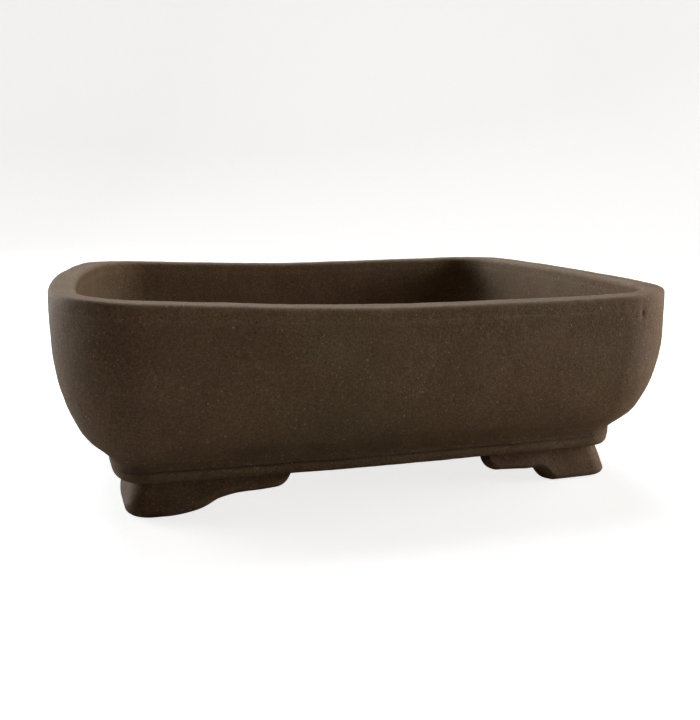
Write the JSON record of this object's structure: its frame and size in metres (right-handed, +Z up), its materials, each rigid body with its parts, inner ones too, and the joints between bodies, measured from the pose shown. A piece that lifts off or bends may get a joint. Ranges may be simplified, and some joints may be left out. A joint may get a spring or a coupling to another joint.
{
  "type": "bonsai pot",
  "caption": "Unglazed stoneware pot: soft rounded-rectangle plan, bellied walls, saddle rim, quarter-round base moulding and stepped bracket feet.",
  "frame": {"origin": "on the ground under the middle of the pot, level with the soles of the feet", "axes": "+X along the length to the right, +Y to the back, +Z up; the front faces -Y"},
  "size_m": [0.2512, 0.2056, 0.0839],
  "materials": {
    "wall_clay": "matte",
    "rim_clay": "matte",
    "moulding_clay": "matte",
    "foot_clay": "matte",
    "floor_clay": "matte"
  },
  "bodies": {
    "root": {"floor_slab": "floor_clay", "front_wall": "wall_clay", "back_wall": "wall_clay", "left_wall": "wall_clay", "right_wall": "wall_clay", "rim_strip": "rim_clay", "belt_moulding": "moulding_clay", "front_coil": "floor_clay", "back_coil": "floor_clay", "left_coil": "floor_clay", "right_coil": "floor_clay", "foot_front_left": "foot_clay", "foot_front_right": "foot_clay", "foot_back_left": "foot_clay", "foot_back_right": "foot_clay"}
  },
  "joints": []
}
